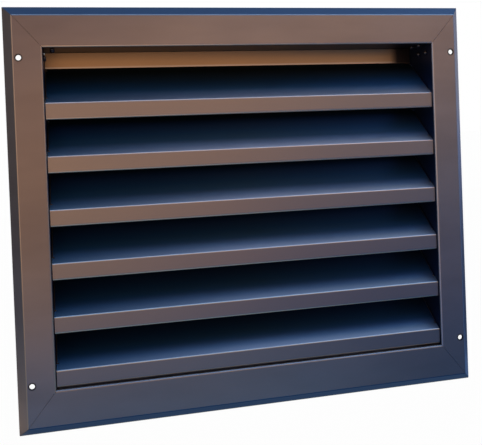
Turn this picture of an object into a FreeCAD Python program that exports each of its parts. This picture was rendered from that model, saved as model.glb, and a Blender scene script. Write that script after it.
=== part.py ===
import FreeCAD, Part
import math
import os

from FreeCAD import Vector

# Wall louvre grille: a mitred frame of folded sheet with fixed Z-shaped blades.
# Millimetres. X runs to the right seen from the front, Y runs into the wall, Z is up.
# The origin is the centre of the four fixing holes, on the front face of the frame.

# Sheet metal
sheet = 1.2
bend_inside = 0.6

# Clear opening and the frame's front faces
opening_width = 395.0
side_face = 26.5
head_face = 29.9
sill_face = 33.0

# Bevelled lip around the frame, from its front face back to the wall
lip_run = 8.5
lip_depth = 9.0

# Returns folded inwards at the back of the casing
rear_return = 5.0
sill_rear_return = 24.0

# Open width of the joint where two frame sides meet at a corner
mitre_gap = 0.4

# Blades
blade_count = 6
blade_pitch = 50.0
blade_front = 15.5
slope_run = 46.6
slope_rise = 35.7
blade_upstand = 15.6
drip_lip = 6.5

# How the blades sit in the frame
blade_setback = 3.0
blade_end_gap = 0.8
tab_wall_gap = 0.3
head_seal_gap = 0.3
sill_drain_gap = 1.5
casing_behind_blades = 4.2

# Tab folded down at each end of a blade's slope
slope_tab_depth = 14.0
slope_tab_front_margin = 9.0
slope_tab_rear_margin = 4.0
tab_relief = 1.2
tab_relief_depth = 0.8
tab_corner = 3.0

# Fixing holes in the sides of the frame
fixing_hole = 5.0
fixing_from_lip = 5.0
fixing_from_end = 39.25

# Blind rivets
rivet_shank = 3.2
rivet_hole_clearance = 0.1
rivet_head = 6.5
rivet_head_height = 1.2
rivet_tail = 4.6
rivet_tail_length = 2.6
rivet_from_tab_end = 8.0
rivet_from_tab_edge = 5.0

# Angle cleats around the casing's corners
cleat_sheet = 1.5
cleat_width = 36.0
cleat_gap = 0.3
cleat_rivet_from_end = 6.5
cleat_rivet_from_edge = 10.0
cleat_to_blade_rivet = 2.0
cleat_rivet_to_lip = 1.5

# Flat plates that back the corner joints of the front faces
plate_sheet = 1.2
plate_gap = 0.3
plate_margin = 4.0
plate_corner = 5.0

# Overshoot of cutting shapes past what they cut
beyond = 5.0

# Sizes that follow from the ones above
bend_outside = bend_inside + sheet
blade_stack = (blade_count - 1) * blade_pitch
opening_height = (
    head_seal_gap + blade_upstand + slope_rise
    + blade_stack + blade_front + sill_drain_gap
)
face_top = (head_face + opening_height + sill_face) / 2
opening_top = face_top - head_face
opening_bottom = opening_top - opening_height
opening_side = opening_width / 2
face_side = opening_side + side_face
lip_side = face_side + lip_run
lip_top = face_top + lip_run
casing_depth = blade_setback + slope_run + sheet + casing_behind_blades

first_blade_top = opening_top - head_seal_gap - blade_upstand - slope_rise
blade_end = opening_side - blade_end_gap
tab_face = opening_side - tab_wall_gap
slope_length = math.hypot(slope_run, slope_rise)
slope_along = Vector(0, slope_run / slope_length, slope_rise / slope_length)
slope_under = Vector(0, slope_rise / slope_length, -slope_run / slope_length)
slope_tab_start = slope_tab_front_margin
slope_tab_end = slope_length - slope_tab_rear_margin

fixing_x = face_side - fixing_from_lip
fixing_z = face_top - fixing_from_end

rivet_hole = rivet_shank + 2 * rivet_hole_clearance
tab_rivets_along = (slope_tab_start + rivet_from_tab_end, slope_tab_end - rivet_from_tab_end)
tab_rivets_under = slope_tab_depth - rivet_from_tab_edge

# The cleats' arms stop short of the lowest blade's rivets, and their own rivets
# clear its drip lip. Their inside bend clears the casing's square corner.
lowest_blade_top = first_blade_top - blade_stack
lowest_rivet = lowest_blade_top + (
    slope_along * tab_rivets_along[0] + slope_under * tab_rivets_under
).z
cleat_arm = lowest_rivet - rivet_head / 2 - cleat_to_blade_rivet - opening_bottom
cleat_front = sheet + plate_gap + plate_sheet + cleat_gap
cleat_inside_bend = 2 * cleat_gap
cleat_rivet_inset = cleat_arm - cleat_rivet_from_end
cleat_rivets_deep = (
    blade_setback + drip_lip + cleat_rivet_to_lip + rivet_tail / 2,
    cleat_front + cleat_width - cleat_rivet_from_edge,
)


# Folded sheet

def unit(start, end):
    """Return the unit direction from one flat point to another."""
    length = math.dist(start, end)
    return ((end[0] - start[0]) / length, (end[1] - start[1]) / length)


def left_of(direction):
    """Return the direction a quarter turn to the left."""
    return (-direction[1], direction[0])


def moved(point, direction, distance):
    """Return a flat point moved along a direction."""
    return (point[0] + direction[0] * distance, point[1] + direction[1] * distance)


def folded_section(path, thickness, inside, to_space, end_cut=None):
    """Return the section of a sheet folded along a path of its shown face.

    The sheet's thickness lies to the left of the path. Each corner of the path is a
    bend with the given inside radius. to_space places a flat point in the model.
    end_cut is the direction of the last edge, square to the sheet if not given.
    """
    directions = [unit(path[i], path[i + 1]) for i in range(len(path) - 1)]
    shown = [path[0]]
    hidden = [moved(path[0], left_of(directions[0]), thickness)]
    edges_shown = []
    edges_hidden = []
    for i in range(1, len(path) - 1):
        before = directions[i - 1]
        after = directions[i]
        cross = before[0] * after[1] - before[1] * after[0]
        dot = before[0] * after[0] + before[1] * after[1]
        turn = math.atan2(cross, dot)
        side = math.copysign(1.0, turn)
        radius_shown = inside + thickness if side > 0 else inside
        radius_hidden = inside if side > 0 else inside + thickness
        reach = radius_shown * math.tan(abs(turn) / 2)
        arc_start = moved(path[i], before, -reach)
        arc_end = moved(path[i], after, reach)
        centre = moved(arc_start, left_of(before), side * radius_shown)
        outward = unit(centre, path[i])
        arcs = (
            (edges_shown, shown, arc_start, arc_end, radius_shown),
            (
                edges_hidden,
                hidden,
                moved(arc_start, left_of(before), thickness),
                moved(arc_end, left_of(after), thickness),
                radius_hidden,
            ),
        )
        for edges, last, start, end, radius in arcs:
            edges.append(Part.makeLine(to_space(last[-1]), to_space(start)))
            middle = moved(centre, outward, radius)
            edges.append(Part.Arc(to_space(start), to_space(middle), to_space(end)).toShape())
            last.append(end)
    cut = end_cut if end_cut else left_of(directions[-1])
    across = left_of(directions[-1])
    cut_length = thickness / (cut[0] * across[0] + cut[1] * across[1])
    shown_end = path[-1]
    hidden_end = moved(shown_end, cut, cut_length)
    edges_shown.append(Part.makeLine(to_space(shown[-1]), to_space(shown_end)))
    edges_hidden.append(Part.makeLine(to_space(hidden[-1]), to_space(hidden_end)))
    caps = [
        Part.makeLine(to_space(shown[0]), to_space(hidden[0])),
        Part.makeLine(to_space(shown_end), to_space(hidden_end)),
    ]
    wire = Part.Wire(Part.__sortEdges__(edges_shown + edges_hidden + caps))
    return Part.Face(wire)


def prism(points, y_start, y_end):
    """Return a block with a flat outline of (x, z) points, between two depths."""
    corners = [Vector(x, y_start, z) for x, z in points]
    face = Part.Face(Part.makePolygon(corners + corners[:1]))
    return face.extrude(Vector(0, y_end - y_start, 0))


def mirrored(shape):
    """Return the shape's mirror image, left for right."""
    return shape.mirror(Vector(0, 0, 0), Vector(1, 0, 0))


# Frame

def frame_section(face_width, back_return, to_space):
    """Return the section of a frame side: back return, casing, front face and lip."""
    path = [
        (-back_return, casing_depth - sheet),
        (0.0, casing_depth - sheet),
        (0.0, 0.0),
        (face_width, 0.0),
        (face_width + lip_run, lip_depth),
    ]
    return folded_section(path, sheet, bend_inside, to_space, end_cut=(-1.0, 0.0))


def mitre_chain(right, top):
    """Return the corner joint's line of (x, z) points, from inside the opening outwards."""
    x_sign = 1 if right else -1
    inner_z = opening_top if top else opening_bottom
    face_z = face_top if top else -face_top
    lip_z = lip_top if top else -lip_top
    z_sign = 1 if top else -1
    step = rear_return + mitre_gap / 2
    inner_end = sill_rear_return + beyond
    return [
        (x_sign * (opening_side - step), inner_z - z_sign * inner_end),
        (x_sign * (opening_side - step), inner_z - z_sign * step),
        (x_sign * opening_side, inner_z),
        (x_sign * face_side, face_z),
        (x_sign * lip_side, lip_z),
        (x_sign * (lip_side + beyond), lip_z + z_sign * beyond),
    ]


def frame_rail(top):
    """Return the head or the sill of the frame."""
    z_sign = 1 if top else -1
    edge_z = opening_top if top else opening_bottom
    face_width = head_face if top else sill_face
    back_return = rear_return if top else sill_rear_return

    def to_space(point):
        return Vector(-lip_side - beyond, point[1], edge_z + z_sign * point[0])

    section = frame_section(face_width, back_return, to_space)
    bar = section.extrude(Vector(2 * (lip_side + beyond), 0, 0))
    shift = mitre_gap / 2
    left = [(x + shift, z) for x, z in mitre_chain(False, top)]
    right = [(x - shift, z) for x, z in mitre_chain(True, top)]
    return bar.common(prism(left + right[::-1], -beyond, casing_depth + beyond))


def right_jamb():
    """Return the right side of the frame, with its fixing and rivet holes."""

    def to_space(point):
        return Vector(opening_side + point[0], point[1], -lip_top - beyond)

    section = frame_section(side_face, rear_return, to_space)
    bar = section.extrude(Vector(0, 0, 2 * (lip_top + beyond)))
    shift = mitre_gap / 2
    upper = [(x, z - shift) for x, z in mitre_chain(True, True)]
    lower = [(x, z + shift) for x, z in mitre_chain(True, False)]
    jamb = bar.common(prism(lower + upper[::-1], -beyond, casing_depth + beyond))
    drills = []
    for z in (fixing_z, -fixing_z):
        drills.append(hole_through(Vector(fixing_x, sheet / 2, z), Vector(0, 1, 0), fixing_hole))
    for y, z in blade_rivet_places():
        drills.append(hole_through(Vector(opening_side, y, z), Vector(1, 0, 0), rivet_hole))
    for top in (True, False):
        for y, z in jamb_cleat_rivets(top):
            drills.append(hole_through(Vector(opening_side, y, z), Vector(1, 0, 0), rivet_hole))
    return jamb.cut(Part.makeCompound(drills))


def drilled_rail(top):
    """Return the head or the sill with the rivet holes of its two cleats."""
    edge_z = opening_top if top else opening_bottom
    drills = []
    for x, y in rail_cleat_rivets():
        for x_sign in (1, -1):
            place = Vector(x_sign * x, y, edge_z)
            drills.append(hole_through(place, Vector(0, 0, 1), rivet_hole))
    return frame_rail(top).cut(Part.makeCompound(drills))


# Places of the rivets

def blade_tops():
    """Return the height of each blade's front bend, from the top blade down."""
    return [first_blade_top - i * blade_pitch for i in range(blade_count)]


def blade_rivets(blade_top):
    """Return the (y, z) places of the rivets at one end of a blade."""
    corner = Vector(0, blade_setback, blade_top)
    places = []
    for along in tab_rivets_along:
        place = corner + slope_along * along + slope_under * tab_rivets_under
        places.append((place.y, place.z))
    return places


def blade_rivet_places():
    """Return the (y, z) places of all blade rivets in one side of the frame."""
    return [place for blade_top in blade_tops() for place in blade_rivets(blade_top)]


def jamb_cleat_rivets(top):
    """Return the (y, z) places of a cleat's rivets in the side of the frame."""
    z = opening_top - cleat_rivet_inset if top else opening_bottom + cleat_rivet_inset
    return [(y, z) for y in cleat_rivets_deep]


def rail_cleat_rivets():
    """Return the (x, y) places of a right-hand cleat's rivets in the head or the sill."""
    x = opening_side - cleat_rivet_inset
    return [(x, y) for y in cleat_rivets_deep]


def hole_through(centre, direction, diameter):
    """Return the drill for a hole through a thin wall, centred on a point."""
    reach = bend_outside + cleat_sheet + cleat_gap + beyond
    return Part.makeCylinder(diameter / 2, 2 * reach, centre - direction * reach, direction)


# Blades

def blade_strip(blade_top):
    """Return a blade's full-length Z fold with its drip lip, before its end tabs."""
    front = blade_setback
    bottom = blade_top - blade_front
    heights_and_depths = [
        (bottom, front + drip_lip),
        (bottom, front),
        (blade_top, front),
        (blade_top + slope_rise, front + slope_run),
        (blade_top + slope_rise + blade_upstand, front + slope_run),
    ]

    def to_space(point):
        return Vector(-blade_end, point[1], point[0])

    section = folded_section(heights_and_depths, sheet, bend_inside, to_space)
    return section.extrude(Vector(2 * blade_end, 0, 0))


def slope_tab(blade_top):
    """Return the right-hand tab folded down under a blade's slope."""
    corner = Vector(0, blade_setback, blade_top)
    start = tab_face - bend_outside - tab_relief_depth
    path = [
        (start, 0.0),
        (tab_face, 0.0),
        (tab_face, slope_tab_depth),
    ]

    def to_space(point):
        return (
            Vector(point[0], 0, 0) + corner
            + slope_along * slope_tab_start + slope_under * point[1]
        )

    length = slope_tab_end - slope_tab_start
    tab = folded_section(path, sheet, bend_inside, to_space).extrude(slope_along * length)
    return tab.cut(Part.makeCompound([tab_corner_cut(corner, end) for end in (False, True)]))


def tab_corner_cut(corner, rear):
    """Return the wedge that trims one lower corner of a slope tab."""
    along = slope_tab_end if rear else slope_tab_start
    inward = -1 if rear else 1
    tip = corner + slope_along * along + slope_under * slope_tab_depth
    outside = slope_along * (-inward * beyond) + slope_under * beyond
    corners = [
        tip + slope_along * (inward * tab_corner),
        tip - slope_under * tab_corner,
        tip - slope_under * tab_corner + outside,
        tip + slope_along * (inward * tab_corner) + outside,
    ]
    wedge = Part.Face(Part.makePolygon(corners + corners[:1]))
    wedge.translate(Vector(tab_face - beyond, 0, 0))
    return wedge.extrude(Vector(2 * beyond, 0, 0))


def end_relief(blade_top):
    """Return what is notched from a blade's right end around its slope tab."""
    notch = bend_outside + tab_relief_depth
    corner = Vector(tab_face - notch, blade_setback, blade_top)
    first = slope_tab_start - tab_relief
    length = slope_tab_end - slope_tab_start + 2 * tab_relief
    origin = corner + slope_along * first - slope_under * beyond
    edges = [
        Vector(notch + beyond, 0, 0),
        slope_along * length,
        slope_under * (beyond + bend_outside),
    ]
    return block(origin, edges)


def block(origin, edges):
    """Return the block that three edge vectors span from a corner."""
    first, second, third = edges
    corners = [origin, origin + first, origin + first + second, origin + second, origin]
    return Part.Face(Part.makePolygon(corners)).extrude(third)


def blade(blade_top):
    """Return one blade: a folded Z with a drip lip and a tab at each end."""
    strip = blade_strip(blade_top)
    relief = end_relief(blade_top)
    strip = strip.cut(Part.makeCompound([relief, mirrored(relief)]))
    tab = slope_tab(blade_top)
    folded = strip.fuse([tab, mirrored(tab)]).removeSplitter()
    reach = opening_side + beyond
    drills = [
        Part.makeCylinder(rivet_hole / 2, 2 * reach, Vector(-reach, y, z), Vector(1, 0, 0))
        for y, z in blade_rivets(blade_top)
    ]
    return folded.cut(Part.makeCompound(drills))


# Rivets

def rivet(seat, outward, grip):
    """Return a blind rivet with its dome head on a seat, clamping a given grip."""
    head_radius = rivet_head / 2
    shank_radius = rivet_shank / 2
    tail_radius = rivet_tail / 2
    dome_x = head_radius * math.cos(math.radians(45))
    dome_z = rivet_head_height * math.sin(math.radians(45))
    tail_start = -grip
    tail_end = -grip - rivet_tail_length
    shoulder = tail_end + tail_radius / 2
    dome = Part.Arc(
        Vector(0, 0, rivet_head_height), Vector(dome_x, 0, dome_z), Vector(head_radius, 0, 0)
    ).toShape()
    outline = [
        Vector(head_radius, 0, 0),
        Vector(shank_radius, 0, 0),
        Vector(shank_radius, 0, tail_start),
        Vector(tail_radius, 0, tail_start),
        Vector(tail_radius, 0, shoulder),
        Vector(tail_radius / 2, 0, tail_end),
        Vector(0, 0, tail_end),
        Vector(0, 0, rivet_head_height),
    ]
    lines = [Part.makeLine(outline[i], outline[i + 1]) for i in range(len(outline) - 1)]
    profile = Part.Face(Part.Wire(Part.__sortEdges__([dome] + lines)))
    body = profile.revolve(Vector(0, 0, 0), Vector(0, 0, 1), 360)
    body.Placement = FreeCAD.Placement(seat, FreeCAD.Rotation(Vector(0, 0, 1), outward))
    return body


def blade_end_rivets(blade_top):
    """Return the two rivets that hold a blade's right end."""
    grip = sheet + tab_wall_gap + sheet
    seat_x = opening_side + sheet
    rivets = [
        rivet(Vector(seat_x, y, z), Vector(1, 0, 0), grip) for y, z in blade_rivets(blade_top)
    ]
    return Part.makeCompound(rivets)


def cleat_rivets(top):
    """Return the four rivets of a right-hand cleat."""
    z_sign = 1 if top else -1
    edge_z = opening_top if top else opening_bottom
    grip = cleat_sheet + cleat_gap + sheet
    seat_x = opening_side + grip
    seat_z = edge_z + z_sign * grip
    rivets = [rivet(Vector(seat_x, y, z), Vector(1, 0, 0), grip) for y, z in jamb_cleat_rivets(top)]
    for x, y in rail_cleat_rivets():
        rivets.append(rivet(Vector(x, y, seat_z), Vector(0, 0, z_sign), grip))
    return Part.makeCompound(rivets)


# Corner cleats and plates

def cleat(top):
    """Return a right-hand angle cleat around the casing's corner, with rivet holes."""
    z_sign = 1 if top else -1
    edge_z = opening_top if top else opening_bottom
    off = sheet + cleat_gap
    path = [
        (-cleat_arm, off),
        (off, off),
        (off, -cleat_arm),
    ]

    def to_space(point):
        return Vector(opening_side + point[0], cleat_front, edge_z + z_sign * point[1])

    angle = folded_section(path, cleat_sheet, cleat_inside_bend, to_space)
    angle = angle.extrude(Vector(0, cleat_width, 0))
    drills = [
        hole_through(Vector(opening_side, y, z), Vector(1, 0, 0), rivet_hole)
        for y, z in jamb_cleat_rivets(top)
    ]
    for x, y in rail_cleat_rivets():
        drills.append(hole_through(Vector(x, y, edge_z), Vector(0, 0, 1), rivet_hole))
    return angle.cut(Part.makeCompound(drills))


def corner_plate(top):
    """Return the right-hand flat plate behind a corner joint of the front faces."""
    z_sign = 1 if top else -1
    edge_z = opening_top if top else opening_bottom
    face_width = head_face if top else sill_face
    start = sheet + bend_inside + plate_gap
    x_inner = opening_side + start
    x_outer = face_side - plate_margin
    z_inner = edge_z + z_sign * start
    z_outer = edge_z + z_sign * (face_width - plate_margin)
    outline = [
        (x_inner, z_inner),
        (x_outer, z_inner),
        (x_outer, z_outer - z_sign * plate_corner),
        (x_outer - plate_corner, z_outer),
        (x_inner, z_outer),
    ]
    front = sheet + plate_gap
    return prism(outline, front, front + plate_sheet)


# Sub-parts and their files

def grille():
    """Return every sub-part by name."""
    jamb = right_jamb()
    nodes = {
        "head": drilled_rail(True),
        "sill": drilled_rail(False),
        "right_jamb": jamb,
        "left_jamb": mirrored(jamb),
    }
    for number, blade_top in enumerate(blade_tops(), start=1):
        rivets = blade_end_rivets(blade_top)
        nodes[f"blade_{number}"] = blade(blade_top)
        nodes[f"blade_{number}_rivets_right"] = rivets
        nodes[f"blade_{number}_rivets_left"] = mirrored(rivets)
    for top, height in ((True, "top"), (False, "bottom")):
        for name, shape in (
            ("cleat", cleat(top)),
            ("cleat_rivets", cleat_rivets(top)),
            ("corner_plate", corner_plate(top)),
        ):
            nodes[f"{name}_{height}_right"] = shape
            nodes[f"{name}_{height}_left"] = mirrored(shape)
    return nodes


os.makedirs("parts", exist_ok=True)
for node_name, node_shape in grille().items():
    node_shape.exportStep(f"parts/{node_name}.step")
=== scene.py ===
"""Looks of the z-blade louvre grille: its coat, its rivets, the studio and the camera.

Everything is in metres in the grille's own frame. The origin is the centre of the four fixing holes on the
front face, +X is to the right seen from the front, +Y goes into the wall and +Z is up.
"""
import logging
import math
from dataclasses import dataclass, field
from enum import Enum

import bmesh
import bpy
from mathutils import Matrix, Vector


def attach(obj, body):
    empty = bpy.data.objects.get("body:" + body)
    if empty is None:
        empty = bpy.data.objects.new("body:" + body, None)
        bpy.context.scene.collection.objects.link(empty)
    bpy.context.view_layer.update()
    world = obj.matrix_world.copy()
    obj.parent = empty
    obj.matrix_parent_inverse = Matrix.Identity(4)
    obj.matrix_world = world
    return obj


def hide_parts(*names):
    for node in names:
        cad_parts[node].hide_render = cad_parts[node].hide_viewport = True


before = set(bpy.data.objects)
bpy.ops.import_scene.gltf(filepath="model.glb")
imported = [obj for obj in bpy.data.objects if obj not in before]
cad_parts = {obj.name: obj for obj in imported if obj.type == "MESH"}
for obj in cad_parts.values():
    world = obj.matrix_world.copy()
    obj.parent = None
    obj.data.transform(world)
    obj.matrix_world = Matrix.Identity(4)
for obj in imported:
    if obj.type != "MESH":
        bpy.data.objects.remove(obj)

Colour = tuple[float, float, float]
Point = tuple[float, float, float]
Span = tuple[float, float]
Socket = bpy.types.NodeSocket
Outputs = bpy.types.NodeOutputs
Ring = list[bmesh.types.BMVert]

UNCHANGED: Colour = (1.0, 1.0, 1.0)
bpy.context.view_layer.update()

log = logging.getLogger("louvre_grille")


class ShaderGraph:
    """Adds nodes to one material or world and joins them."""

    def __init__(self, tree: bpy.types.NodeTree) -> None:
        """Takes over an empty node tree.

        Args:
            tree: the node tree of a material or of a world.
        """
        self.tree = tree
        self.tree.nodes.clear()

    def node(self, kind: str, inputs: dict[str, object] | None = None, **settings: object) -> bpy.types.Node:
        """Adds one node.

        Args:
            kind: the node's type without its ShaderNode prefix.
            inputs: values for its sockets by name; a socket is joined, and any other value is set.
            settings: attributes of the node.

        Returns:
            The new node.
        """
        made = self.tree.nodes.new("ShaderNode" + kind)
        for name, value in settings.items():
            setattr(made, name, value)
        for name, value in (inputs or {}).items():
            self.feed(made.inputs[name], value)
        return made

    def feed(self, socket: Socket, value: object) -> None:
        """Joins a socket to another one, or sets its value.

        Args:
            socket: the input to fill.
            value: an output socket, a number, a colour or a vector.
        """
        if isinstance(value, Socket):
            self.tree.links.new(value, socket)
        elif isinstance(value, tuple) and socket.type == "RGBA":
            socket.default_value = (*value, 1.0)
        else:
            socket.default_value = value

    def math(self, operation: str, first: object, second: object = 0.0) -> Socket:
        """Adds a math node.

        Args:
            operation: the node's operation.
            first: its first value or socket.
            second: its second value or socket.

        Returns:
            The result's socket.
        """
        made = self.node("Math", operation=operation)
        self.feed(made.inputs[0], first)
        self.feed(made.inputs[1], second)
        return made.outputs[0]

    def between(self, value: Socket, low: float, high: float, start: float, end: float) -> Socket:
        """Maps a value from one range to another and holds it there.

        Args:
            value: the socket to map.
            low: the value that becomes start.
            high: the value that becomes end.
            start: the result at low.
            end: the result at high.

        Returns:
            The mapped socket.
        """
        ends = {"From Min": low, "From Max": high, "To Min": start, "To Max": end}
        made = self.node("MapRange", {"Value": value, **ends})
        made.clamp = True
        return made.outputs["Result"]

    def rising(self, value: Socket, span: Span) -> Socket:
        """Rises from 0 to 1 while a value crosses a span."""
        return self.between(value, *span, 0.0, 1.0)

    def falling(self, value: Socket, span: Span) -> Socket:
        """Falls from 1 to 0 while a value crosses a span."""
        return self.between(value, *span, 1.0, 0.0)

    def mixed(self, share: object, first: object, second: object) -> Socket:
        """Mixes two colours.

        Args:
            share: how much of the second colour shows, from 0 to 1.
            first: the first colour or its socket.
            second: the second colour or its socket.

        Returns:
            The mixed colour's socket.
        """
        made = self.node("Mix", data_type="RGBA")
        self.feed(made.inputs["Factor"], share)
        self.feed(made.inputs[6], first)
        self.feed(made.inputs[7], second)
        return made.outputs[2]

    def tinted(self, colour: object, tint: object) -> Socket:
        """Multiplies two colours.

        Args:
            colour: the colour or its socket.
            tint: what each of its channels is multiplied by.

        Returns:
            The socket of the product.
        """
        made = self.node("VectorMath", operation="MULTIPLY")
        self.feed(made.inputs[0], colour)
        self.feed(made.inputs[1], tint)
        return made.outputs[0]

    def noise(self, place: Socket, scale: float, detail: float, rough: float) -> Socket:
        """Adds a noise texture.

        Args:
            place: the coordinates that it follows.
            scale: its features per metre.
            detail: its octaves.
            rough: how strong the fine octaves are.

        Returns:
            The socket of its value, around 0.5.
        """
        made = self.node("TexNoise", {"Vector": place, "Scale": scale, "Detail": detail, "Roughness": rough})
        return made.outputs["Fac"]


class CoatSpot(Enum):
    """Where on the grille a coat lies: its name, how much rougher it is, how much darker it is, and if
    painted highlights go on its bend lines.
    """

    FRAME = ("frame_coat", 0.0, 1.0, True)
    BLADE = ("blade_coat", -0.01, 1.0, True)
    TOP_BLADE = ("top_blade_coat", -0.01, 1.0, True)
    CLEAT = ("cleat_coat", 0.05, 0.85, False)
    # The rivets' coat is darkened as painted shade, for they sit in the casing's shade.
    RIVET = ("rivet_coat", 0.03, 0.45, False)
    BEAD = ("mitre_bead_coat", 0.1, 0.55, False)


@dataclass(frozen=True)
class SatinPowderCoat:
    """Dark bronze satin powder coat with fine metal flake, as baked on folded sheet, with painted highlights,
    painted reflections and painted shade laid into its colour.

    A span is a pair of places, or of parts of the surface normal, between which one tone fades into another.
    """

    spot: CoatSpot
    colour: Colour = (0.104, 0.090, 0.086)
    flake_colour: Colour = (0.128, 0.106, 0.094)
    metallic: float = 0.97
    roughness: float = 0.41
    shade_scale: float = 5.0
    shade_span: Span = (0.3, 0.7)
    shade_shares: Span = (0.15, 0.55)
    speck_span: Span = (0.58, 0.72)
    speck_share: float = 0.25
    peel_scale: float = 420.0
    peel_height: float = 0.000012
    grain_scale: float = 2600.0
    grain_height: float = 0.0000025
    wipe_stretch: Point = (0.35, 1.6, 1.3)
    wipe_scale: float = 9.0
    wipe_span: Span = (0.3, 0.75)
    wipe_gloss: float = 0.025
    wipe_dull: float = 0.035
    flats: tuple[float, ...] = (0.0, 0.608, 0.687, 1.0)
    flat_reach: Span = (0.012, 0.036)
    side_facing: Span = (0.15, 0.3)
    under_facing: Span = (-0.3, -0.15)
    middle_span: Span = (-0.01, 0.01)
    foot_span: Span = (-0.18, -0.17)
    low_span: Span = (-0.09, 0.06)
    # Painted highlights on the sheet's bend lines, and painted shade on downward bend lines at the foot.
    bend_highlight_colour: Colour = (0.33, 0.215, 0.15)
    left_bend_highlight_colour: Colour = (0.22, 0.15, 0.095)
    right_bend_highlight_colour: Colour = (0.17, 0.175, 0.19)
    low_bend_highlight_tint: Colour = (0.66, 1.0, 1.25)
    frame_bend_highlight_colour: Colour = (0.13, 0.12, 0.11)
    foot_bend_shade_colour: Colour = (0.02, 0.045, 0.08)
    under_bend_highlight_colour: Colour = (0.46, 0.30, 0.18)
    # Painted reflection, painted highlight and painted shade on the top blade's upstand.
    upstand_span: Span = (0.1448, 0.1454)
    fold_span: Span = (0.1462, 0.1470)
    dark_end_span: Span = (0.1725, 0.1815)
    upstand_reflection_colour: Colour = (0.14, 0.094, 0.058)
    fold_highlight_colour: Colour = (0.19, 0.16, 0.145)
    upstand_shade_colour: Colour = (0.012, 0.010, 0.011)
    # Painted shade around the fixing holes.
    hole_place: tuple[float, float] = (0.219, 0.1515)
    hole_ring: Span = (0.0032, 0.0040)
    hole_rim_shade_colour: Colour = (0.012, 0.010, 0.010)
    # Painted shade on the undersides of the frame.
    soffit_facing: Span = (-0.99, -0.96)
    soffit_shade_colour: Colour = (0.022, 0.021, 0.026)
    # Painted shade on the inner walls of the jambs.
    wall_facing: Span = (0.96, 0.99)
    wall_reach: Span = (0.1977, 0.1985)
    inner_wall_shade_colour: Colour = (0.02, 0.035, 0.08)
    # Painted highlight, painted reflections and painted shade on the blades' slopes.
    slope_facing: tuple[Span, Span] = ((0.76, 0.78), (0.80, 0.82))
    slope_light_stops: tuple[tuple[float, Colour], ...] = (
        (0.0060, (0.24, 0.20, 0.20)),
        (0.0120, (0.17, 0.19, 0.20)),
        (0.0165, (0.073, 0.144, 0.172)),
        (0.0255, (0.042, 0.108, 0.163)),
        (0.0345, (0.040, 0.072, 0.100)),
        (0.0430, (0.014, 0.027, 0.030)),
    )
    inward_span: Span = (0.008, 0.02)
    left_span: Span = (-0.19, 0.0)
    right_span: Span = (0.0, 0.19)
    slope_left_light_tint: tuple[Colour, Colour] = ((0.25, 0.40, 0.50), (0.40, 0.65, 0.80))
    slope_right_light_tint: tuple[Colour, Colour] = ((0.95, 0.95, 0.90), (0.90, 1.25, 1.80))
    slope_low_shade_tint: Colour = (0.36, 0.42, 0.47)
    # Painted shade darkens the frame's upper left.
    corner_across: Span = (-0.2, -0.05)
    corner_up: Span = (-0.12, 0.0)
    frame_left_shade_tint: Colour = (0.80, 0.78, 0.80)
    smear_scale: float = 22.0
    smear_span: Span = (0.35, 0.62)
    smear_tints: tuple[Colour, Colour] = ((0.93, 0.92, 0.91), (1.05, 1.05, 1.05))
    lip_lean: float = 0.727
    lip_reach: Span = (0.012, 0.02)
    lip_facing: Span = (-0.65, -0.6)
    right_lip_span: Span = (0.0, 0.12)
    # Painted shade on the sill's lip, and painted reflections on the head's lip and on the right jamb's lower
    # lip.
    sill_lip_shade_colour: Colour = (0.08, 0.085, 0.095)
    head_lip_reflection_colour: Colour = (0.05, 0.065, 0.09)
    right_lip_reflection_colour: Colour = (0.155, 0.165, 0.20)

    def material(self) -> bpy.types.Material:
        """Builds the coat.

        Returns:
            The material.
        """
        name, rougher, shade, bend_highlights_painted = self.spot.value
        made = bpy.data.materials.new(name)
        made.use_nodes = True
        graph = ShaderGraph(made.node_tree)
        place = graph.node("TexCoord").outputs["Object"]
        cloud = graph.noise(place, self.shade_scale, 3.0, 0.55)
        speck = graph.noise(place, self.grain_scale, 1.0, 0.5)
        dark = tuple(channel * shade for channel in self.colour)
        pale = tuple(channel * shade for channel in self.flake_colour)
        coat = graph.mixed(graph.between(cloud, *self.shade_span, *self.shade_shares), dark, pale)
        coat = graph.mixed(graph.between(speck, *self.speck_span, 0.0, self.speck_share), coat, pale)
        facing = graph.node("SeparateXYZ", {"Vector": graph.node("NewGeometry").outputs["Normal"]}).outputs
        # The frame's coat gets painted shade and painted reflections; the other coats get painted light where
        # they face like the blades' slopes.
        if self.spot is CoatSpot.FRAME:
            coat = self.shaded(graph, place, facing, coat)
        else:
            coat = self.painted_slope_light(graph, place, facing, coat)
        # The top blade's upstand gets a painted reflection, highlight and shade.
        if self.spot is CoatSpot.TOP_BLADE:
            coat = self.painted_upstand_light(graph, place, coat)
        # Painted highlights go onto the bend lines of this coat.
        if bend_highlights_painted:
            coat = self.painted_bend_highlights(graph, place, facing, coat)
        wiped = graph.noise(self.stretched(graph, place), self.wipe_scale, 4.0, 0.6)
        level = self.roughness + rougher
        rough = graph.between(wiped, *self.wipe_span, level - self.wipe_gloss, level + self.wipe_dull)
        shell = graph.node("BsdfPrincipled", {
            "Base Color": coat,
            "Metallic": self.metallic,
            "Roughness": rough,
            "Normal": self.relief(graph, place),
        })
        out = graph.node("OutputMaterial")
        graph.feed(out.inputs["Surface"], shell.outputs[0])
        made.diffuse_color = (*self.colour, 1.0)
        return made

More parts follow.
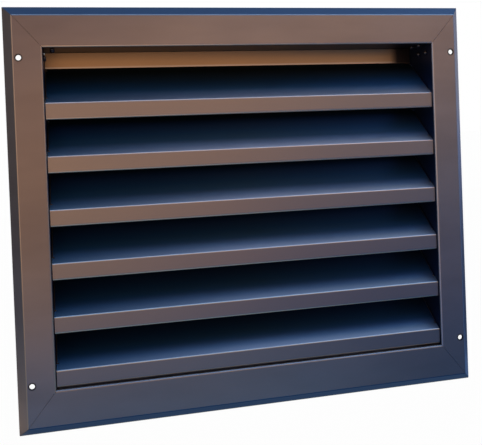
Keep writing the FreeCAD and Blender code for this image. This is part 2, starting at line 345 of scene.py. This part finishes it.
    def painted_bend_highlights(self, graph: ShaderGraph, place: Socket, facing: Outputs, coat: Socket) -> Socket:
        """Paints highlights onto the sheet's bend lines, bluer low down and warm on the left but cool on the
        right side walls; downward bend lines get a warm painted highlight, and at the foot painted shade.

        Args:
            graph: the coat's graph.
            place: its coordinates.
            facing: the surface normal's three parts.
            coat: the coat's colour.

        Returns:
            The changed colour.
        """
        lean = graph.math("ABSOLUTE", facing["Y"])
        found: object = 1.0
        for flat in self.flats:
            away = graph.math("ABSOLUTE", graph.math("SUBTRACT", lean, flat))
            found = graph.math("MULTIPLY", found, graph.rising(away, self.flat_reach))
        parts = graph.node("SeparateXYZ", {"Vector": place}).outputs
        level: object = self.frame_bend_highlight_colour
        if self.spot is not CoatSpot.FRAME:
            low = graph.falling(parts["Z"], self.low_span)
            level = graph.tinted(self.bend_highlight_colour, graph.mixed(low, UNCHANGED, self.low_bend_highlight_tint))
        side = graph.rising(graph.math("ABSOLUTE", facing["X"]), self.side_facing)
        right = graph.rising(parts["X"], self.middle_span)
        upright = graph.mixed(right, self.left_bend_highlight_colour, self.right_bend_highlight_colour)
        foot = graph.falling(parts["Z"], self.foot_span)
        below = graph.mixed(foot, self.under_bend_highlight_colour, self.foot_bend_shade_colour)
        under = graph.falling(facing["Z"], self.under_facing)
        painted_bend_tone = graph.mixed(under, graph.mixed(side, level, upright), below)
        return graph.mixed(found, coat, painted_bend_tone)

    def shaded(self, graph: ShaderGraph, place: Socket, facing: Outputs, coat: Socket) -> Socket:
        """Tones the frame's coat: painted shade on its upper left, hole rims, undersides and inner walls,
        painted reflections and painted shade on its lips, and its smears.

        Args:
            graph: the coat's graph.
            place: its coordinates.
            facing: the surface normal's three parts.
            coat: the coat's colour.

        Returns:
            The changed colour.
        """
        parts = graph.node("SeparateXYZ", {"Vector": place}).outputs
        # Painted shade on the frame's upper left.
        corner = graph.math("MULTIPLY", graph.falling(parts["X"], self.corner_across),
                            graph.rising(parts["Z"], self.corner_up))
        toned = graph.tinted(coat, graph.mixed(corner, UNCHANGED, self.frame_left_shade_tint))
        smear = graph.noise(self.stretched(graph, place), self.smear_scale, 3.0, 0.55)
        toned = graph.tinted(toned, graph.mixed(graph.rising(smear, self.smear_span), *self.smear_tints))
        # Painted shade on the hole rims.
        toned = graph.mixed(self.hole_rims(graph, parts), toned, self.hole_rim_shade_colour)
        # Painted shade on the frame's undersides.
        toned = graph.mixed(graph.falling(facing["Z"], self.soffit_facing), toned, self.soffit_shade_colour)
        # Painted reflections and painted shade on the lips.
        toned = self.lips(graph, parts, facing, toned)
        # Painted shade on the jambs' inner walls.
        inner_wall_shade = graph.math("MULTIPLY", graph.rising(graph.math("ABSOLUTE", facing["X"]), self.wall_facing),
                            graph.falling(graph.math("ABSOLUTE", parts["X"]), self.wall_reach))
        return graph.mixed(inner_wall_shade, toned, self.inner_wall_shade_colour)

    def hole_rims(self, graph: ShaderGraph, parts: Outputs) -> Socket:
        """Finds the rims of the four fixing holes, where painted shade goes.

        Args:
            graph: the coat's graph.
            parts: the three parts of its coordinates.

        Returns:
            A socket that is 1 on the rims and 0 away from them.
        """
        squares: object = 0.0
        for part, centre in zip("XZ", self.hole_place):
            off = graph.math("SUBTRACT", graph.math("ABSOLUTE", parts[part]), centre)
            squares = graph.math("ADD", graph.math("MULTIPLY", off, off), squares)
        return graph.falling(graph.math("SQRT", squares), self.hole_ring)

    def lips(self, graph: ShaderGraph, parts: Outputs, facing: Outputs, coat: Socket) -> Socket:
        """Paints reflections onto the bevelled lips of the head and of the right jamb's lower half, and
        painted shade onto the sill's lip.

        Args:
            graph: the coat's graph.
            parts: the three parts of its coordinates.
            facing: the surface normal's three parts.
            coat: the coat's colour.

        Returns:
            The changed colour.
        """
        right_lip = graph.mixed(graph.rising(parts["Z"], self.right_lip_span), self.right_lip_reflection_colour, coat)
        front = graph.falling(facing["Y"], self.lip_facing)
        toned = coat
        for part, lean, lip in (
            ("Z", -self.lip_lean, self.sill_lip_shade_colour),
            ("Z", self.lip_lean, self.head_lip_reflection_colour),
            ("X", self.lip_lean, right_lip),
        ):
            away = graph.math("ABSOLUTE", graph.math("SUBTRACT", facing[part], lean))
            found = graph.math("MULTIPLY", front, graph.falling(away, self.lip_reach))
            toned = graph.mixed(found, toned, lip)
        return toned

    def painted_slope_light(self, graph: ShaderGraph, place: Socket, facing: Outputs, coat: Socket) -> Socket:
        """Paints light and shade onto the blades' slopes: a painted highlight at the front that fades to
        painted shade further in, darker and bluer on the left, paler and bluer further in on the right, and
        darker low down.

        Args:
            graph: the coat's graph.
            place: its coordinates.
            facing: the surface normal's three parts.
            coat: the coat's colour.

        Returns:
            The changed colour.
        """
        parts = graph.node("SeparateXYZ", {"Vector": place}).outputs
        tone: object = self.slope_light_stops[0][1]
        for (start, _), (end, colour) in zip(self.slope_light_stops, self.slope_light_stops[1:]):
            tone = graph.mixed(graph.rising(parts["Y"], (start, end)), tone, colour)
        inward = graph.rising(parts["Y"], self.inward_span)
        left = graph.mixed(inward, *self.slope_left_light_tint)
        right = graph.mixed(inward, *self.slope_right_light_tint)
        tint = graph.mixed(graph.falling(parts["X"], self.left_span), UNCHANGED, left)
        tint = graph.mixed(graph.rising(parts["X"], self.right_span), tint, right)
        low = graph.mixed(graph.falling(parts["Z"], self.low_span), UNCHANGED, self.slope_low_shade_tint)
        toned = graph.tinted(graph.tinted(tone, tint), low)
        steep, shallow = self.slope_facing
        slope = graph.math("MULTIPLY", graph.rising(facing["Z"], steep), graph.falling(facing["Z"], shallow))
        return graph.mixed(slope, coat, toned)

    def painted_upstand_light(self, graph: ShaderGraph, place: Socket, coat: Socket) -> Socket:
        """Paints a warm reflection onto the top blade's upstand under the head, a paler painted highlight low
        on it where it meets the slope, and painted shade at its right end.

        Args:
            graph: the coat's graph.
            place: its coordinates.
            coat: the coat's colour.

        Returns:
            The changed colour.
        """
        parts = graph.node("SeparateXYZ", {"Vector": place}).outputs
        end = graph.rising(parts["X"], self.dark_end_span)
        upstand_reflection = graph.mixed(end, self.upstand_reflection_colour, self.upstand_shade_colour)
        fold = graph.mixed(end, self.fold_highlight_colour, self.upstand_shade_colour)
        upstand_reflection = graph.mixed(graph.rising(parts["Z"], self.fold_span), fold, upstand_reflection)
        return graph.mixed(graph.rising(parts["Z"], self.upstand_span), coat, upstand_reflection)

    def stretched(self, graph: ShaderGraph, place: Socket) -> Socket:
        """Squeezes the coordinates so that wiping marks run along the width."""
        return graph.node("Mapping", {"Vector": place, "Scale": self.wipe_stretch}).outputs["Vector"]

    def relief(self, graph: ShaderGraph, place: Socket) -> Socket:
        """Adds the coat's orange peel and its fine grain.

        Args:
            graph: the coat's graph.
            place: its coordinates.

        Returns:
            The socket of the changed normal.
        """
        peel = graph.noise(place, self.peel_scale, 1.0, 0.4)
        grain = graph.noise(place, self.grain_scale, 0.0, 0.5)
        first = graph.node("Bump", {"Height": peel, "Distance": self.peel_height, "Strength": 1.0})
        second = graph.node("Bump", {
            "Height": grain,
            "Distance": self.grain_height,
            "Strength": 1.0,
            "Normal": first.outputs[0],
        })
        return second.outputs[0]


@dataclass
class FoldedFrame:
    """The four mitred casing members and the plates behind their mitres."""

    members: tuple[str, ...] = ("head", "sill", "left_jamb", "right_jamb")
    plates: tuple[str, ...] = (
        "corner_plate_top_right",
        "corner_plate_top_left",
        "corner_plate_bottom_right",
        "corner_plate_bottom_left",
    )
    coat: SatinPowderCoat = field(default_factory=lambda: SatinPowderCoat(CoatSpot.FRAME))

    def dress(self) -> list[str]:
        """Coats the members and plates.

        Returns:
            The names of the pieces.
        """
        made = self.coat.material()
        for name in self.members + self.plates:
            recoat(name, made)
        return list(self.members + self.plates)


@dataclass
class ZBlades:
    """The folded blades, one above the other."""

    count: int = 6
    coat: SatinPowderCoat = field(default_factory=lambda: SatinPowderCoat(CoatSpot.BLADE))
    top_coat: SatinPowderCoat = field(default_factory=lambda: SatinPowderCoat(CoatSpot.TOP_BLADE))

    def dress(self) -> list[str]:
        """Coats the blades.

        Returns:
            The names of the pieces.
        """
        made = self.coat.material()
        names = [f"blade_{number}" for number in range(1, self.count + 1)]
        recoat(names[0], self.top_coat.material())
        for name in names[1:]:
            recoat(name, made)
        return names


@dataclass
class CornerCleats:
    """The angle cleats around the casing's corners."""

    nodes: tuple[str, ...] = ("cleat_top_right", "cleat_top_left", "cleat_bottom_right", "cleat_bottom_left")
    coat: SatinPowderCoat = field(default_factory=lambda: SatinPowderCoat(CoatSpot.CLEAT))

    def dress(self) -> list[str]:
        """Coats the cleats.

        Returns:
            The names of the pieces.
        """
        made = self.coat.material()
        for name in self.nodes:
            recoat(name, made)
        return list(self.nodes)


@dataclass
class MitreBeads:
    """Thin beads of sealant that close the frame's mitres where its lips meet."""

    face_corner: tuple[float, float] = (0.224, 0.19075)
    inward: float = 0.0115
    top_lean: float = 1.128
    bottom_lean: float = 1.245
    lip_run: float = 0.0085
    lip_depth: float = 0.009
    reach: float = 0.95
    half_width: float = 0.00035
    recess: float = 0.00035
    thickness: float = 0.0008
    coat: SatinPowderCoat = field(default_factory=lambda: SatinPowderCoat(CoatSpot.BEAD))

    def build(self) -> list[str]:
        """Builds one bead for each corner.

        Returns:
            The names of the pieces.
        """
        made = self.coat.material()
        names = []
        for end, rise, lean in (("top", 1.0, self.top_lean), ("bottom", -1.0, self.bottom_lean)):
            for side, hand in (("right", 1.0), ("left", -1.0)):
                name = f"mitre_bead_{end}_{side}"
                mesh = bpy.data.meshes.new(name)
                work = bmesh.new()
                self.fill(work, hand, rise, lean)
                work.to_mesh(mesh)
                work.free()
                mesh.materials.append(made)
                piece = bpy.data.objects.new(name, mesh)
                bpy.context.scene.collection.objects.link(piece)
                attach(piece, "root")
                names.append(piece.name)
        return names

    def fill(self, work: bmesh.types.BMesh, hand: float, rise: float, lean: float) -> None:
        """Lays a bar of square section along one mitre, over the face and down the lip.

        Args:
            work: the mesh to fill.
            hand: 1 for the right side and -1 for the left one.
            rise: 1 for the top and -1 for the bottom.
            lean: how much the mitre climbs on the face for each step sideways.
        """
        course = (
            (-self.inward, -self.inward * lean, 0.0),
            (0.0, 0.0, 0.0),
            (self.lip_run * self.reach, self.lip_run * self.reach, self.lip_depth * self.reach),
        )
        rings = []
        for out, up, back in course:
            sideways = hand * (self.face_corner[0] + out)
            height = rise * (self.face_corner[1] + up)
            middle = Vector((sideways, back + self.recess, height))
            aside = Vector((hand, 0.0, -rise)).normalized() * self.half_width
            deep = Vector((0.0, self.thickness, 0.0))
            corners = (middle - aside, middle + aside, middle + aside + deep, middle - aside + deep)
            rings.append([work.verts.new(corner) for corner in corners])
        for near, far in zip(rings, rings[1:]):
            for one in range(4):
                two = (one + 1) % 4
                work.faces.new((near[one], near[two], far[two], far[one]))
        work.faces.new(rings[0])
        work.faces.new(rings[-1])
        bmesh.ops.recalc_face_normals(work, faces=work.faces[:])


@dataclass
class BlindRivets:
    """Blind rivets with a domed head, the broken mandrel in its bore and a bulbed tail."""

    blade_count: int = 6
    head_radius: float = 0.00325
    head_height: float = 0.0012
    rim_height: float = 0.00028
    dome_start: float = 8.0
    dome_share: float = 0.98
    edge: float = 0.00012
    rim_round: float = 0.00008
    fillet: float = 0.0001
    bore_radius: float = 0.00095
    bore_depth: float = 0.0009
    bore_flare: float = 1.04
    hollow: tuple[Span, ...] = ((0.0, 0.72), (0.55, 0.8), (0.88, 1.0), (1.0, 0.75))
    shank_radius: float = 0.0016
    tail_radius: float = 0.0023
    tail_length: float = 0.0026
    bulb_share: float = 0.72
    bulb_fullness: float = 0.6
    neck_share: float = 0.8
    neck_flare: float = 1.02
    mandrel_radius: float = 0.0012
    break_share: float = 0.72
    break_length: float = 0.0003
    break_edge: float = 0.00006
    arc_steps: int = 8
    steps: int = 36
    coat: SatinPowderCoat = field(default_factory=lambda: SatinPowderCoat(CoatSpot.RIVET))

    def nodes(self) -> list[str]:
        """Names the CAD nodes that hold rivets."""
        sides = ("right", "left")
        numbers = range(1, self.blade_count + 1)
        blades = [f"blade_{number}_rivets_{side}" for number in numbers for side in sides]
        corners = [f"cleat_rivets_{end}_{side}" for end in ("top", "bottom") for side in sides]
        return blades + corners

    def build(self) -> list[str]:
        """Builds one piece for each rivet node.

        Returns:
            The names of the pieces.
        """
        made = self.coat.material()
        names = []
        for node in self.nodes():
            mesh = bpy.data.meshes.new(node + "_detail")
            work = bmesh.new()
            for low, high in solid_boxes(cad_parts[node]):
                self.turn(work, low, high)
            work.to_mesh(mesh)
            work.free()
            mesh.materials.append(made)
            mesh.shade_smooth()
            piece = bpy.data.objects.new(node + "_detail", mesh)
            bpy.context.scene.collection.objects.link(piece)
            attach(piece, "root")
            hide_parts(node)
            names.append(piece.name)
        return names

    def profile(self, length: float) -> list[tuple[float, float]]:
        """Draws the rivet's half section.

        Args:
            length: from the top of the head to the end of the tail.

        Returns:
            Pairs of radius and depth below the head's top, from the bore to the tail's end.
        """
        hollow = [(self.bore_radius * out, self.bore_depth * down) for out, down in self.hollow]
        dome = []
        for step in range(self.arc_steps + 1):
            turn = math.radians(self.dome_start + (90 - self.dome_start) * step / self.arc_steps)
            radius = self.bore_radius + (self.head_radius - self.bore_radius) * math.sin(turn)
            depth = (self.head_height - self.rim_height) * (1 - math.cos(turn)) * self.dome_share
            dome.append((radius, depth))
        seat = self.head_height
        bulb_top = length - self.tail_length
        bulb = []
        for step in range(self.arc_steps + 1):
            turn = math.radians(180 * step / self.arc_steps)
            swell = (self.tail_radius - self.shank_radius) * math.sin(turn) ** self.bulb_fullness
            depth = bulb_top + self.tail_length * self.bulb_share * step / self.arc_steps
            bulb.append((self.shank_radius + swell, depth))
        return [
            *hollow,
            (self.bore_radius * self.bore_flare, self.edge),
            *dome,
            (self.head_radius, seat - self.rim_round),
            (self.head_radius - self.edge, seat),
            (self.shank_radius + self.fillet, seat),
            (self.shank_radius, seat + self.fillet),
            *bulb,
            (self.mandrel_radius * self.neck_flare, bulb_top + self.tail_length * self.neck_share),
            (self.mandrel_radius, length - self.break_length),
            (self.mandrel_radius * self.break_share, length - self.break_edge),
            (0.0, length),
        ]

    def turn(self, work: bmesh.types.BMesh, low: Vector, high: Vector) -> None:
        """Turns one rivet about the axis of a CAD rivet.

        Args:
            work: the mesh that gets it.
            low: the CAD rivet's lowest corner.
            high: its highest corner.
        """
        size = high - low
        centre = (low + high) / 2
        axis = 0 if abs(size[1] - size[2]) < abs(size[0] - size[1]) else 2
        side = 1.0 if centre[axis] > 0 else -1.0
        top = high[axis] if side > 0 else low[axis]
        inward = Vector((0.0, 0.0, 0.0))
        inward[axis] = -side
        across = Vector((0.0, 1.0, 0.0))
        other = inward.cross(across)
        start = centre.copy()
        start[axis] = top
        rings = []
        for radius, depth in self.profile(size[axis]):
            middle = start + inward * depth
            if radius == 0.0:
                rings.append([work.verts.new(middle)])
                continue
            rings.append([
                work.verts.new(middle + radius * (math.cos(turn) * across + math.sin(turn) * other))
                for turn in (math.tau * step / self.steps for step in range(self.steps))
            ])
        for upper, lower in zip(rings, rings[1:]):
            self.skin(work, upper, lower)

    def skin(self, work: bmesh.types.BMesh, upper: Ring, lower: Ring) -> None:
        """Closes the band between two rings, either of which may be a single point.

        Args:
            work: the mesh that holds the rings.
            upper: the ring nearer to the head's top.
            lower: the next ring.
        """
        for step in range(self.steps):
            after = (step + 1) % self.steps
            corners = [
                upper[step % len(upper)],
                lower[step % len(lower)],
                lower[after % len(lower)],
                upper[after % len(upper)],
            ]
            ring = [corner for place, corner in enumerate(corners) if corner not in corners[:place]]
            work.faces.new(ring)


@dataclass(frozen=True)
class LightBoard:
    """A flat board that glows, and shows only in the coat's sheen and in the light that it gives."""

    name: str
    centre: Point
    facing: Point
    width: float
    height: float
    colour: Colour
    far_colour: Colour | None = None
    fade_from: Point = (0.0, 0.0, 0.0)
    fade_to: Point = (1.0, 0.0, 0.0)

    def build(self) -> bpy.types.Object:
        """Builds the board and turns it towards the point that it faces.

        Returns:
            The board.
        """
        mesh = bpy.data.meshes.new(self.name)
        corners = [(-0.5, -0.5), (0.5, -0.5), (0.5, 0.5), (-0.5, 0.5)]
        mesh.from_pydata([(x * self.width, y * self.height, 0.0) for x, y in corners], [], [(0, 1, 2, 3)])
        board = bpy.data.objects.new(self.name, mesh)
        bpy.context.scene.collection.objects.link(board)
        aim = Vector(self.facing) - Vector(self.centre)
        turned = aim.to_track_quat("Z", "Y").to_matrix()
        board.matrix_world = Matrix.Translation(self.centre) @ turned.to_4x4()
        mesh.materials.append(self.material())
        hide_from_camera(board)
        return board

    def material(self) -> bpy.types.Material:
        """Builds the glow, which may fade from one colour to another across the board.

        Returns:
            The material.
        """
        made = bpy.data.materials.new(self.name + "_glow")
        made.use_nodes = True
        graph = ShaderGraph(made.node_tree)
        shown: object = self.colour
        if self.far_colour is not None:
            course = Vector(self.fade_to) - Vector(self.fade_from)
            place = graph.node("NewGeometry").outputs["Position"]
            past = graph.node("VectorMath", operation="SUBTRACT")
            graph.feed(past.inputs[0], place)
            graph.feed(past.inputs[1], self.fade_from)
            along = graph.node("VectorMath", operation="DOT_PRODUCT")
            graph.feed(along.inputs[0], past.outputs[0])
            graph.feed(along.inputs[1], tuple(course / course.length_squared))
            share = graph.node("MapRange", {"Value": along.outputs["Value"]}, interpolation_type="SMOOTHSTEP")
            shown = graph.mixed(share.outputs["Result"], self.colour, self.far_colour)
        glow = graph.node("Emission", {"Color": shown, "Strength": 1.0})
        out = graph.node("OutputMaterial")
        graph.feed(out.inputs["Surface"], one_sided(graph, glow))
        return made


@dataclass(frozen=True)
class SkyCove:
    """A glowing arch over the grille from low in front to low behind, as a sky of changing colour.

    Each stop is an angle in degrees, up from level in front, and the glow there.
    """

    name: str = "sky_cove"
    centre: Point = (0.2, -0.02, 0.02)
    radius: float = 1.85
    width: float = 5.2
    panels: int = 48
    stops: tuple[tuple[float, Colour], ...] = (
        (13.0, (0.9, 0.7, 0.5)),
        (30.0, (1.0, 0.9, 0.9)),
        (48.0, (0.7, 1.1, 2.2)),
        (62.0, (0.4, 1.2, 3.4)),
        (73.0, (1.7, 3.7, 7.6)),
        (83.0, (3.0, 4.4, 6.2)),
        (91.0, (0.3, 0.45, 0.7)),
        (100.0, (0.01, 0.04, 0.1)),
        (116.0, (0.005, 0.06, 0.25)),
        (140.0, (0.005, 0.06, 0.3)),
        (158.0, (0.7, 0.8, 1.0)),
        (178.0, (2.0, 2.0, 2.1)),
    )
    level_span: Span = (-0.6, 1.2)
    left_level: float = 0.75
    right_level: float = 1.35

    def build(self) -> bpy.types.Object:
        """Builds the cove.

        Returns:
            The cove.
        """
        mesh = bpy.data.meshes.new(self.name)
        first, last = self.stops[0][0], self.stops[-1][0]
        places = []
        for step in range(self.panels + 1):
            turn = math.radians(first + (last - first) * step / self.panels)
            for side in (-0.5, 0.5):
                places.append((
                    self.centre[0] + side * self.width,
                    self.centre[1] - self.radius * math.cos(turn),
                    self.centre[2] + self.radius * math.sin(turn),
                ))
        mesh.from_pydata(places, [], [(2 * n, 2 * n + 2, 2 * n + 3, 2 * n + 1) for n in range(self.panels)])
        cove = bpy.data.objects.new(self.name, mesh)
        bpy.context.scene.collection.objects.link(cove)
        mesh.materials.append(self.material())
        hide_from_camera(cove)
        return cove

    def material(self) -> bpy.types.Material:
        """Builds the glow, which follows the stops around the arch and rises from left to right.

        Returns:
            The material.
        """
        made = bpy.data.materials.new(self.name + "_glow")
        made.use_nodes = True
        graph = ShaderGraph(made.node_tree)
        parts = graph.node("SeparateXYZ", {"Vector": graph.node("NewGeometry").outputs["Position"]}).outputs
        ahead = graph.math("SUBTRACT", self.centre[1], parts["Y"])
        above = graph.math("SUBTRACT", parts["Z"], self.centre[2])
        first, last = self.stops[0][0], self.stops[-1][0]
        turn = graph.math("ARCTAN2", above, ahead)
        ramp = graph.node("ValToRGB", {"Fac": graph.rising(turn, (math.radians(first), math.radians(last)))})
        band = ramp.color_ramp.elements
        while len(band) < len(self.stops):
            band.new(0.5)
        for spot, (angle, _) in zip(band, self.stops):
            spot.position = (angle - first) / (last - first)
        for spot, (_, colour) in zip(band, self.stops):
            spot.color = (*colour, 1.0)
        level = graph.between(parts["X"], *self.level_span, self.left_level, self.right_level)
        glow = graph.node("Emission", {"Color": ramp.outputs["Color"], "Strength": level})
        out = graph.node("OutputMaterial")
        graph.feed(out.inputs["Surface"], one_sided(graph, glow))
        return made


@dataclass(frozen=True)
class PaleFloor:
    """The pale floor that the grille stands on."""

    level: float = -0.19925
    reach: float = 30.0
    colour: Colour = (0.93, 0.93, 0.93)
    own_white: float = 0.985

    def build(self) -> bpy.types.Object:
        """Builds the floor, which is white by its own colour and keeps the grille's shadow.

        Returns:
            The floor.
        """
        mesh = bpy.data.meshes.new("floor")
        half = self.reach / 2
        corners = [(-half, -half), (half, -half), (half, half), (-half, half)]
        mesh.from_pydata([(x, y, self.level) for x, y in corners], [], [(0, 1, 2, 3)])
        floor = bpy.data.objects.new("floor", mesh)
        bpy.context.scene.collection.objects.link(floor)
        made = bpy.data.materials.new("floor_paint")
        made.use_nodes = True
        graph = ShaderGraph(made.node_tree)
        matt = graph.node("BsdfDiffuse", {"Color": self.colour})
        white = graph.node("Emission", {"Color": (1.0, 1.0, 1.0), "Strength": 1.0})
        mix = graph.node("MixShader", {"Fac": graph.math("MULTIPLY", seen_directly(graph), self.own_white)})
        graph.feed(mix.inputs[1], matt.outputs[0])
        graph.feed(mix.inputs[2], white.outputs[0])
        out = graph.node("OutputMaterial")
        graph.feed(out.inputs["Surface"], mix.outputs[0])
        mesh.materials.append(made)
        return floor


@dataclass(frozen=True)
class WhiteSurround:
    """The studio's white surround, which the camera and the coat's sheen see, and its soft ambient light."""

    ambient: Colour = (0.3, 0.33, 0.38)

    def build(self) -> bpy.types.World:
        """Builds the world.

        Returns:
            The world.
        """
        world = bpy.data.worlds.new("white_surround")
        world.use_nodes = True
        graph = ShaderGraph(world.node_tree)
        soft = graph.node("Background", {"Color": self.ambient, "Strength": 1.0})
        white = graph.node("Background", {"Color": (1.0, 1.0, 1.0), "Strength": 1.0})
        mix = graph.node("MixShader", {"Fac": seen_directly(graph)})
        graph.feed(mix.inputs[1], soft.outputs[0])
        graph.feed(mix.inputs[2], white.outputs[0])
        out = graph.node("OutputWorld")
        graph.feed(out.inputs["Surface"], mix.outputs[0])
        bpy.context.scene.world = world
        return world


@dataclass(frozen=True)
class FrontCamera:
    """The camera in front of the grille, a little left of its middle and above it."""

    place: Point = (-0.179166, -0.692031, 0.079246)
    yaw: float = 0.2366
    pitch: float = -0.0140
    roll: float = -0.0379
    focal_pixels: float = 723.618
    centre_row: float = 138.370
    frame_width: float = 482.0
    frame_height: float = 445.0
    sensor: float = 36.0

    def build(self) -> bpy.types.Object:
        """Places the camera and makes it the scene's.

        Returns:
            The camera.
        """
        lens = bpy.data.cameras.new("front_camera")
        lens.sensor_width = self.sensor
        lens.lens = self.focal_pixels * self.sensor / self.frame_width
        lens.shift_y = (self.centre_row - self.frame_height / 2) / self.frame_width
        lens.clip_start = 0.01
        lens.clip_end = 100.0
        camera = bpy.data.objects.new("front_camera", lens)
        bpy.context.scene.collection.objects.link(camera)
        ahead = Vector((
            math.sin(self.yaw) * math.cos(self.pitch),
            math.cos(self.yaw) * math.cos(self.pitch),
            math.sin(self.pitch),
        ))
        level = Vector((math.cos(self.yaw), -math.sin(self.yaw), 0.0))
        upward = level.cross(ahead)
        right = math.cos(self.roll) * level + math.sin(self.roll) * upward
        above = -math.sin(self.roll) * level + math.cos(self.roll) * upward
        turned = Matrix((right, above, -ahead)).transposed()
        camera.matrix_world = Matrix.Translation(self.place) @ turned.to_4x4()
        bpy.context.scene.camera = camera
        return camera


@dataclass
class Studio:
    """Floor, surround, cove, boards and camera."""

    camera: FrontCamera = field(default_factory=FrontCamera)
    floor: PaleFloor = field(default_factory=PaleFloor)
    surround: WhiteSurround = field(default_factory=WhiteSurround)
    cove: SkyCove = field(default_factory=SkyCove)
    boards: tuple[LightBoard, ...] = (
        LightBoard(
            name="warm_board",
            centre=(0.2, -1.7, 0.15),
            facing=(0.2, 0.0, 0.15),
            width=5.2,
            height=0.7,
            colour=(3.15, 1.95, 1.15),
            far_colour=(0.15, 0.72, 1.35),
            fade_from=(0.017, -1.7, -0.049),
            fade_to=(0.301, -1.7, -0.457),
        ),
        LightBoard(
            name="warm_top_board",
            centre=(1.3, -1.69, 0.5),
            facing=(1.3, 0.0, 0.5),
            width=1.6,
            height=0.5,
            colour=(3.6, 2.2, 1.1),
        ),
        LightBoard(
            name="floor_mat",
            centre=(0.2, -0.99, -0.1985),
            facing=(0.2, -0.99, 1.0),
            width=5.2,
            height=1.42,
            colour=(1.6, 1.2, 0.8),
            far_colour=(0.08, 0.24, 0.8),
            fade_from=(-0.19, -0.94, -0.1985),
            fade_to=(0.30, -0.65, -0.1985),
        ),
        LightBoard(
            name="foot_mat",
            centre=(0.2, -0.142, -0.1985),
            facing=(0.2, -0.142, 1.0),
            width=5.2,
            height=0.276,
            colour=(0.22, 0.58, 1.2),
            far_colour=(0.03, 0.25, 0.75),
            fade_from=(0.0, -0.142, -0.1985),
            fade_to=(0.26, -0.142, -0.1985),
        ),
        LightBoard(
            name="sill_mat",
            centre=(0.2, 0.023, -0.1985),
            facing=(0.2, 0.023, 1.0),
            width=5.2,
            height=0.054,
            colour=(1.1, 0.95, 0.85),
            far_colour=(0.14, 0.29, 0.6),
            fade_from=(-0.25, 0.023, -0.1985),
            fade_to=(-0.22, 0.023, -0.1985),
        ),
        LightBoard(
            name="back_mat",
            centre=(0.2, 1.0, -0.1985),
            facing=(0.2, 1.0, 1.0),
            width=5.2,
            height=1.9,
            colour=(0.003, 0.03, 0.06),
        ),
        LightBoard(
            name="right_wall",
            centre=(2.7, 0.25, 0.6),
            facing=(0.0, 0.25, 0.6),
            width=4.4,
            height=2.6,
            colour=(0.2, 0.32, 0.7),
        ),
        LightBoard(
            name="left_wall",
            centre=(-2.3, 0.25, 0.6),
            facing=(0.0, 0.25, 0.6),
            width=4.4,
            height=2.6,
            colour=(0.5, 0.46, 0.4),
        ),
        LightBoard(
            name="right_board",
            centre=(2.0, -0.1, 0.45),
            facing=(0.0, 0.0, 0.1),
            width=2.2,
            height=1.3,
            colour=(0.7, 0.8, 1.2),
        ),
        LightBoard(
            name="left_board",
            centre=(-1.6, -1.0, 0.35),
            facing=(0.0, 0.0, 0.1),
            width=1.2,
            height=1.1,
            colour=(1.6, 1.6, 2.0),
        ),
    )

    def build(self) -> list[str]:
        """Builds the studio.

        Returns:
            The names of its parts.
        """
        bpy.context.scene.view_settings.view_transform = "Standard"
        parts = (self.camera, self.floor, self.surround, self.cove, *self.boards)
        return [part.build().name for part in parts]


def seen_directly(graph: ShaderGraph) -> Socket:
    """Finds the rays that come straight from the camera, off sheen or through glass.

    Args:
        graph: the graph of the floor or of the world.

    Returns:
        A socket that is 1 on those rays and 0 on the others.
    """
    ray = graph.node("LightPath").outputs
    sheen = graph.math("MAXIMUM", ray["Is Glossy Ray"], ray["Is Transmission Ray"])
    return graph.math("MAXIMUM", ray["Is Camera Ray"], sheen)


def one_sided(graph: ShaderGraph, glow: bpy.types.Node) -> Socket:
    """Keeps a glow to the front of its faces.

    Args:
        graph: the board's graph.
        glow: its emission node.

    Returns:
        The socket of a shader that glows in front and is dark behind.
    """
    dark = graph.node("Emission", {"Color": (0.0, 0.0, 0.0), "Strength": 0.0})
    mix = graph.node("MixShader", {"Fac": graph.node("NewGeometry").outputs["Backfacing"]})
    graph.feed(mix.inputs[1], glow.outputs[0])
    graph.feed(mix.inputs[2], dark.outputs[0])
    return mix.outputs[0]


def hide_from_camera(board: bpy.types.Object) -> None:
    """Leaves a board only in sheen and in the light that it gives.

    Args:
        board: the board.
    """
    board.visible_camera = False
    board.visible_shadow = False
    board.visible_transmission = False


def recoat(name: str, coat: bpy.types.Material) -> None:
    """Gives every material slot of a CAD node one coat.

    Args:
        name: the node.
        coat: its new material.
    """
    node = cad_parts[name]
    if not node.material_slots:
        node.data.materials.append(coat)
    for slot in node.material_slots:
        slot.material = coat


def solid_boxes(node: bpy.types.Object) -> list[tuple[Vector, Vector]]:
    """Finds the box of each separate solid in a node's mesh.

    Args:
        node: the CAD node's object.

    Returns:
        The lowest and highest corner of each solid.
    """
    work = bmesh.new()
    work.from_mesh(node.data)
    bmesh.ops.remove_doubles(work, verts=work.verts, dist=1e-7)
    seen = set()
    boxes = []
    for first in work.verts:
        if first in seen:
            continue
        seen.add(first)
        island = []
        waiting = [first]
        while waiting:
            vert = waiting.pop()
            island.append(vert.co.copy())
            for edge in vert.link_edges:
                other = edge.other_vert(vert)
                if other not in seen:
                    seen.add(other)
                    waiting.append(other)
        low = Vector([min(place[axis] for place in island) for axis in range(3)])
        high = Vector([max(place[axis] for place in island) for axis in range(3)])
        boxes.append((low, high))
    work.free()
    return boxes


def main() -> None:
    """Builds the studio, then dresses the grille piece by piece."""
    logging.basicConfig(level=logging.INFO, format="%(name)s: %(message)s")
    for name in Studio().build():
        log.info("studio: %s", name)
    for name in FoldedFrame().dress():
        log.info("coated: %s", name)
    for name in ZBlades().dress():
        log.info("coated: %s", name)
    for name in CornerCleats().dress():
        log.info("coated: %s", name)
    for name in BlindRivets().build():
        log.info("built: %s", name)
    for name in MitreBeads().build():
        log.info("built: %s", name)


if __name__ == "__main__":
    main()
